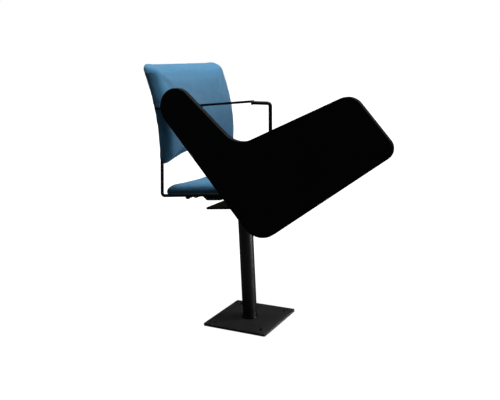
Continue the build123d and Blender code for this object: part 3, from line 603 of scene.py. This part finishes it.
FRAME_HALF = 0.198
RAIL_INNER = FRAME_HALF - 0.0052
COLUMN_R = 0.02415
PLATE_UNDER = 0.0672
COLUMN_TOP = Vector((0, 0, RAIL_Z - PLATE_UNDER / math.cos(TILT) - 0.0015))
COLUMN_FOOT = Vector((0, 0, 0.0098))
TOP_RING_R = COLUMN_R + 0.001
FOOT_RING_R = COLUMN_R + 0.0024
CROSS_DROP = 0.006
CROSS_ENDS = ((0.150, 0.0053), (-0.088, 0.0062))  # place and bead ring radius of each cross rod
CHANNEL_ENDS = ((-0.0315, -0.006), (0.0455, 0.006))  # place and lean of each channel lip
CHANNEL_LIP_Z = (-0.0085, -0.003)
CHANNEL_WEB_X = (-0.016, 0.030)
CHANNEL_WEB_Z = -0.0172
ARM_SLOPE = math.radians(2.75)
ARM_FRONT_X = 0.152
ARM_RISE = 0.2644
ARM_END_R = 0.0052

welds = bmesh.new()
top_along = Vector((1, 0, math.tan(TILT))) * TOP_RING_R
top_ring = circle_points(COLUMN_TOP, top_along, Vector((0, TOP_RING_R, 0)), 56)
add_bead(welds, top_ring, 0.0026, True, 0.16)
foot_along = Vector((FOOT_RING_R, 0, 0))
foot_ring = circle_points(COLUMN_FOOT, foot_along, Vector((0, FOOT_RING_R, 0)), 56)
add_bead(welds, foot_ring, 0.0023, True, 0.18)
for side in (-1, 1):
    inner = side * RAIL_INNER
    for x, radius in CROSS_ENDS:
        ring = circle_points(on_seat(x, inner, -CROSS_DROP), SEAT_X * radius, SEAT_Z * radius, 26)
        add_bead(welds, ring, 0.0014, True, 0.20)
    low, high = CHANNEL_LIP_Z
    for x, lean in CHANNEL_ENDS:
        run = line_points(on_seat(x - lean, inner, low), on_seat(x, inner, high), 9)
        add_bead(welds, run, 0.0015, False, 0.20)
    start, end = (on_seat(x, inner, CHANNEL_WEB_Z) for x in CHANNEL_WEB_X)
    add_bead(welds, line_points(start, end, 26), 0.0012, False, 0.22)
arm_z = RAIL_Z + ARM_RISE + ARM_FRONT_X * math.tan(ARM_SLOPE) - 0.0035
arm_end = Vector((ARM_FRONT_X + 0.0002, -FRAME_HALF, arm_z))
arm_ring = circle_points(arm_end, Vector((0, ARM_END_R, 0)), Vector((0, 0, ARM_END_R)), 24)
add_bead(welds, arm_ring, 0.0014, True, 0.2)
finish_piece(welds, "weld_beads", black_coat, "frame")


# ---------------------------------------------------------------- rail cap and cover rivets

RAIL_END_X = 0.162 / math.cos(TILT)
CAP_OUTLINE = [
    (-0.0100, 0.0050), (-0.0098, 0.0056), (-0.0004, 0.0057), (0.0006, 0.0053),
    (0.0016, 0.0041), (0.0022, 0.0022), (0.0024, 0.0),
]
BOARD_HALF = 0.190
COVER_REAR_RADIUS = BACK_RADIUS - 0.003
RIVET_Y = 0.134
RIVET_RISES = (0.150, 0.330)
RIVET_OUTLINE = [
    (-0.0004, 0.0060), (0.0006, 0.0060), (0.0013, 0.0053), (0.0019, 0.0036),
    (0.0021, 0.0018), (0.0017, 0.0),
]


def board_normal(y, z):
    """Way that the bent board's front faces at a place."""
    return Vector((1, -2 * BACK_SAG * y / BOARD_HALF**2, (z - BACK_APEX[1]) / BACK_RADIUS))


cap = bmesh.new()
add_turned(cap, on_seat(RAIL_END_X, FRAME_HALF, 0), SEAT_X, CAP_OUTLINE)
finish_piece(cap, "rail_end_cap", moulded, "frame")

rivets = bmesh.new()
for y in (-RIVET_Y, RIVET_Y):
    for rise in RIVET_RISES:
        z = RAIL_Z + rise
        bend = math.sqrt(COVER_REAR_RADIUS**2 - (z - BACK_APEX[1]) ** 2)
        x = BACK_APEX[0] - BACK_RADIUS + bend - BACK_SAG * (1 - (y / BOARD_HALF) ** 2)
        front = board_normal(y, z)
        add_turned(rivets, Vector((x, y, z)), Vector((-front.x, -front.y, front.z)), RIVET_OUTLINE)
finish_piece(rivets, "cover_rivets", moulded, "frame")


# ---------------------------------------------------------------- painted shade for the recesses in the screws' heads

# The dark crosses below are painted shade: they stand in for the shade inside each screw head's
# recess.
RECESS_SHADE_EDGE = 0.00004
RECESS_SHADE_RIDGE = 0.00012
RECESS_SHADE_HALF_WIDTH = 0.0005


def islands(mesh):
    """The separate solids of a mesh, each as a list of its points."""
    whole = bmesh.new()
    whole.from_mesh(mesh)
    bmesh.ops.remove_doubles(whole, verts=whole.verts, dist=0.00001)
    left = set(whole.verts)
    found = []
    while left:
        queue = [left.pop()]
        group = list(queue)
        while queue:
            for edge in queue.pop().link_edges:
                for vertex in edge.verts:
                    if vertex in left:
                        left.remove(vertex)
                        queue.append(vertex)
                        group.append(vertex)
        found.append([v.co.copy() for v in group])
    whole.free()
    return found


def head_face(points, shank_axis):
    """Centre of the wide end of a screw whose axis is known, and the way that end faces."""
    centre = sum(points, Vector()) / len(points)
    reach = [(p - centre).dot(shank_axis) for p in points]
    middle = (max(reach) + min(reach)) / 2
    width = {}
    for sign in (-1, 1):
        end = [p - centre for p, r in zip(points, reach) if (r - middle) * sign > 0]
        width[sign] = max((p - shank_axis * p.dot(shank_axis)).length for p in end)
    sign = 1 if width[1] > width[-1] else -1
    top = max(r * sign for r in reach)
    wide = [p for p, r in zip(points, reach) if r * sign > top - 0.0001]
    return sum(wide, Vector()) / len(wide), shank_axis * sign


def add_painted_recess_shade(shape, centre, facing, reach):
    """A thin dark cross on a screw's head: painted shade that stands in for its recess."""
    across = facing.orthogonal().normalized()
    other = facing.cross(across)
    width = RECESS_SHADE_HALF_WIDTH
    corners = ((-reach, -width), (reach, -width), (reach, width), (-reach, width))
    for a, b in ((across, other), (other, across)):
        outer = [shape.verts.new(centre + a * i + b * j + facing * RECESS_SHADE_EDGE) for i, j in corners]
        inner = [
            shape.verts.new(centre + a * (0.6 * i) + b * (0.5 * j) + facing * RECESS_SHADE_RIDGE)
            for i, j in corners
        ]
        for k in range(4):
            n = (k + 1) % 4
            shape.faces.new((outer[k], outer[n], inner[n], inner[k]))
        shape.faces.new(inner)


ARM_DOWN = Vector((math.sin(ARM_SLOPE), 0, -math.cos(ARM_SLOPE)))
for node, axis, reach, body in (
    ("saddle_screws", SEAT_Z, 0.0024, "seat"),
    ("leaf_screws", ARM_DOWN, 0.0028, "frame"),
    ("flange_screws", Vector((0, 1, 0)), 0.0024, "tablet"),
    ("back_screws", None, 0.0022, "frame"),
):
    # Each screw head gets a dark cross of painted shade, in the black rubber's colour, in place of
    # a modelled recess.
    painted_recess_shades = bmesh.new()
    for points in islands(nodes_by_name[node].data):
        middle = sum(points, Vector()) / len(points)
        way = board_normal(middle.y, middle.z).normalized() if axis is None else axis
        centre, facing = head_face(points, way)
        add_painted_recess_shade(painted_recess_shades, centre, facing, reach)
    finish_piece(painted_recess_shades, node + "_recesses", black_rubber, body)


# ---------------------------------------------------------------- hem and staples under the seat

SEAT_BOARD_LOW = 0.0035
# rounded rectangles under the board: rear, front, half width and corner radius
HEM_OUTER = (-0.170, 0.194, 0.177, 0.030)
HEM_INNER = (-0.152, 0.176, 0.159, 0.016)
STAPLE_RUN = (-0.161, 0.185, 0.168, 0.022)
HEM_STEP = 0.008
HEM_DEPTHS = (0.0002, 0.0009, 0.0007, 0.0002)
HEM_WAVE = 0.00025
STAPLE_STEP = 0.0042
STAPLE_EVERY = 8
STAPLE_WIRE_R = 0.0004
STAPLE_DEPTH = 0.0009
STAPLE_OUTLINE = [
    (-0.0052, 0.0005), (-0.0050, -0.0004), (-0.0042, -0.0007),
    (0.0042, -0.0007), (0.0050, -0.0004), (0.0052, 0.0005),
]


def rounded_loop(x0, x1, half, radius, step):
    """Points of a rounded rectangle in the seat plane, evenly spaced on its straight sides."""
    corners = [
        (x1 - radius, half - radius, 0), (x0 + radius, half - radius, 90),
        (x0 + radius, radius - half, 180), (x1 - radius, radius - half, 270),
    ]
    loop = []
    for index, (cx, cy, first) in enumerate(corners):
        for k in range(7):
            turn = math.radians(first + 15 * k)
            loop.append((cx + radius * math.cos(turn), cy + radius * math.sin(turn)))
        nx, ny, nf = corners[(index + 1) % 4]
        end_x = nx + radius * math.cos(math.radians(nf))
        end_y = ny + radius * math.sin(math.radians(nf))
        x, y = loop[-1]
        count = max(1, int(math.hypot(end_x - x, end_y - y) / step))
        for k in range(1, count):
            loop.append((x + (end_x - x) * k / count, y + (end_y - y) * k / count))
    return loop


def resampled(row, count):
    """The row at an even number of places."""
    return [row[int(i * len(row) / count)] for i in range(count)]


outer = rounded_loop(*HEM_OUTER, HEM_STEP)
inner = rounded_loop(*HEM_INNER, HEM_STEP)
count = min(len(outer), len(inner))
hem = bmesh.new()
rings = []
for loop, depth in zip((outer, outer, inner, inner), HEM_DEPTHS):
    z = SEAT_BOARD_LOW - depth
    ring = []
    for x, y in resampled(loop, count):
        wave = HEM_WAVE * noise.noise(Vector((x * 60, y * 60, z * 40)))
        ring.append(hem.verts.new(on_seat(x + wave * 4, y + wave * 4, z + wave)))
    rings.append(ring)
for first, second in zip(rings, rings[1:] + rings[:1]):
    for k in range(count):
        n = (k + 1) % count
        hem.faces.new((first[k], first[n], second[n], second[k]))
bmesh.ops.recalc_face_normals(hem, faces=hem.faces)
finish_piece(hem, "seat_fabric_hem", cloth, "seat")

staples = bmesh.new()
staple_loop = rounded_loop(*STAPLE_RUN, STAPLE_STEP)
for i in range(0, len(staple_loop), STAPLE_EVERY):
    x, y = staple_loop[i]
    nx, ny = staple_loop[(i + 1) % len(staple_loop)]
    skew = Matrix.Rotation(0.5 * noise.noise(Vector((x * 90, y * 90, 0.0))), 3, "Z")
    along = skew @ Vector((nx - x, ny - y, 0)).normalized()
    base = SEAT_BOARD_LOW - STAPLE_DEPTH
    wire = [on_seat(x + along.x * a, y + along.y * a, base + z) for a, z in STAPLE_OUTLINE]
    add_bead(staples, wire, STAPLE_WIRE_R, False, 0.0)
finish_piece(staples, "seat_staples", zinc, "seat")


# ---------------------------------------------------------------- stage, light and camera

FLOOR_GREY = (0.10, 0.10, 0.10)
FLOOR_LIFT = 1.26
FLOOR_WHITE_FROM = 0.20
FLOOR_WHITE_TO = 0.90
FLOOR_LEAST_LIFT = 0.80
AIM = (0.0, 0.0, 0.55)
COLUMN_AIM = (0.0, 0.0, 0.20)


def white_floor():
    """A white sheet of floor: a faint soft shadow near the object, plain white further out."""
    bpy.ops.mesh.primitive_circle_add(vertices=96, radius=30.0, fill_type="NGON")
    floor = bpy.context.object
    floor.name = "floor"
    material = bpy.data.materials.new("white_floor")
    material.use_nodes = True
    tree = material.node_tree
    tree.nodes.clear()
    out = tree.nodes.new("ShaderNodeOutputMaterial")
    diffuse = tree.nodes.new("ShaderNodeBsdfDiffuse")
    diffuse.inputs["Color"].default_value = (*FLOOR_GREY, 1.0)
    lift = tree.nodes.new("ShaderNodeEmission")
    lift.inputs["Strength"].default_value = FLOOR_LIFT
    path = tree.nodes.new("ShaderNodeLightPath")
    coord = tree.nodes.new("ShaderNodeTexCoord")
    reach = tree.nodes.new("ShaderNodeVectorMath")
    reach.operation = "LENGTH"
    fade = tree.nodes.new("ShaderNodeMapRange")
    fade.interpolation_type = "SMOOTHSTEP"
    fade.inputs["From Min"].default_value = FLOOR_WHITE_FROM
    fade.inputs["From Max"].default_value = FLOOR_WHITE_TO
    fade.inputs["To Min"].default_value = FLOOR_LEAST_LIFT
    fade.inputs["To Max"].default_value = 1.0
    share = tree.nodes.new("ShaderNodeMath")
    share.operation = "MULTIPLY"
    mixed = tree.nodes.new("ShaderNodeMixShader")
    links = tree.links
    links.new(coord.outputs["Object"], reach.inputs[0])
    links.new(reach.outputs["Value"], fade.inputs["Value"])
    links.new(path.outputs["Is Camera Ray"], share.inputs[0])
    links.new(fade.outputs["Result"], share.inputs[1])
    links.new(share.outputs["Value"], mixed.inputs["Fac"])
    links.new(diffuse.outputs["BSDF"], mixed.inputs[1])
    links.new(lift.outputs["Emission"], mixed.inputs[2])
    links.new(mixed.outputs["Shader"], out.inputs["Surface"])
    floor.data.materials.append(material)


def studio_world(strength):
    """Soft white surroundings, shown as pure white."""
    world = bpy.data.worlds.new("studio")
    scene.world = world
    world.use_nodes = True
    tree = world.node_tree
    tree.nodes.clear()
    out = tree.nodes.new("ShaderNodeOutputWorld")
    background = tree.nodes.new("ShaderNodeBackground")
    background.inputs["Color"].default_value = (1.0, 1.0, 1.0, 1.0)
    path = tree.nodes.new("ShaderNodeLightPath")
    level = tree.nodes.new("ShaderNodeMapRange")
    level.inputs["To Min"].default_value = strength
    level.inputs["To Max"].default_value = 1.0
    tree.links.new(path.outputs["Is Camera Ray"], level.inputs["Value"])
    tree.links.new(level.outputs["Result"], background.inputs["Strength"])
    tree.links.new(background.outputs["Background"], out.inputs["Surface"])


def area_light(name, place, target, width, height, power, spread=180):
    """A soft box at a place, aimed at a target, out of the camera's sight."""
    lamp = bpy.data.lights.new(name, "AREA")
    lamp.shape = "RECTANGLE"
    lamp.size = width
    lamp.size_y = height
    lamp.energy = power
    lamp.spread = math.radians(spread)
    obj = bpy.data.objects.new(name, lamp)
    obj.visible_camera = False
    obj.location = place
    obj.rotation_euler = (Vector(target) - Vector(place)).to_track_quat("-Z", "Y").to_euler()
    scene.collection.objects.link(obj)


def photo_camera():
    """The camera that took the photograph: place and axes from the object's known corners."""
    right = Vector((0.87762672, 0.477186, -0.04544064))
    up = Vector((-0.0599423, 0.20330673, 0.97727851))
    back = right.cross(up)
    place = Vector((0.976865, -1.718762, 0.827988))
    data = bpy.data.cameras.new("photo_camera")
    data.sensor_width = 36.0
    data.lens = 44.64
    camera = bpy.data.objects.new("photo_camera", data)
    axes = Matrix((right, up, back)).transposed().to_4x4()
    camera.matrix_world = Matrix.Translation(place) @ axes
    scene.collection.objects.link(camera)
    scene.camera = camera


white_floor()
studio_world(0.07)
area_light("key", (1.5, 1.3, 2.2), AIM, 0.8, 0.8, 7.0)
area_light("top", (0.22, 0.0, 2.7), AIM, 1.0, 1.0, 92.0)
area_light("strip", (2.25, 0.85, 0.30), COLUMN_AIM, 0.14, 0.5, 1.0, spread=22)
area_light("left", (-2.4, -1.8, 1.6), AIM, 1.2, 1.2, 1.5)
photo_camera()

scene.view_settings.view_transform = "Standard"
